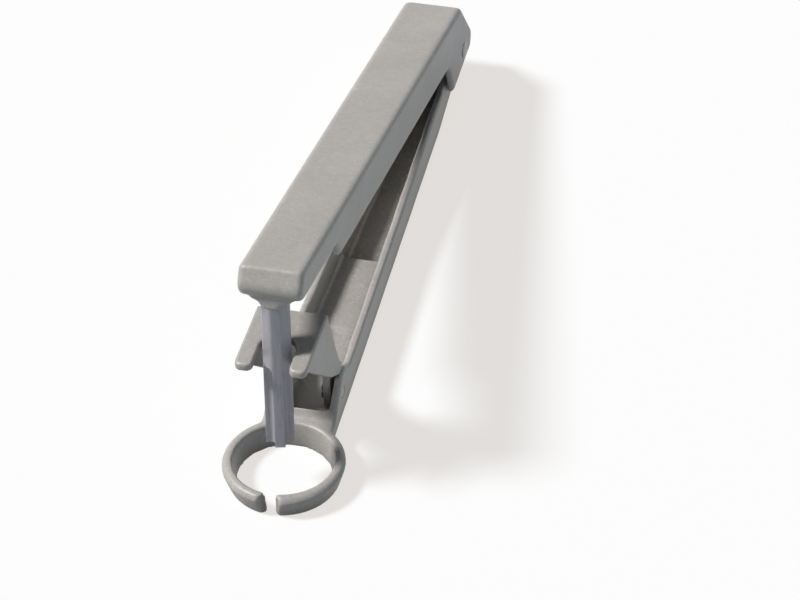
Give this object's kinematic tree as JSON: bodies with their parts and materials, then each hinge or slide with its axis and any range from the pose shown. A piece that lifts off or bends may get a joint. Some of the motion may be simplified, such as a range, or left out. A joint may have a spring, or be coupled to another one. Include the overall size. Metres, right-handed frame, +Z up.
{
  "type": "cherry pitter",
  "caption": "Hand-held lever pitter: a channel-shaped arm with a split cup ring and a forked stripper, and a sprung lever that drives a faceted punch down through both.",
  "frame": {"origin": "bottom centre of the bounding box, on the surface that the tool stands on", "axes": "+Y from the cup ring to the hinge, +X to the right as seen from the ring, +Z up"},
  "size_m": [0.0278, 0.1688, 0.0608],
  "materials": {
    "cast_aluminium": "cast and tumbled, satin with a fine grain",
    "punch_aluminium": "drawn bar, bright",
    "steel_hardware": "plain zinc-coloured steel",
    "spring_steel": "hard-drawn wire"
  },
  "bodies": {
    "arm": {"lower_arm": "cast_aluminium", "stripper_fork": "cast_aluminium", "fork_rivets": "steel_hardware", "return_spring": "spring_steel"},
    "lever": {"upper_lever": "cast_aluminium", "punch": "punch_aluminium", "hinge_pin": "steel_hardware", "hinge_washer": "steel_hardware"}
  },
  "joints": [
    {"name": "lever_hinge", "type": "hinge", "parent": "arm", "child": "lever", "pos_m": [0, 0.07605, 0.0125], "axis": [1, 0, 0], "range_deg": [-7, 4.86], "stiffness_Nm_per_rad": 0.12, "springref_deg": -34.38, "deforming": ["return_spring"]}
  ]
}
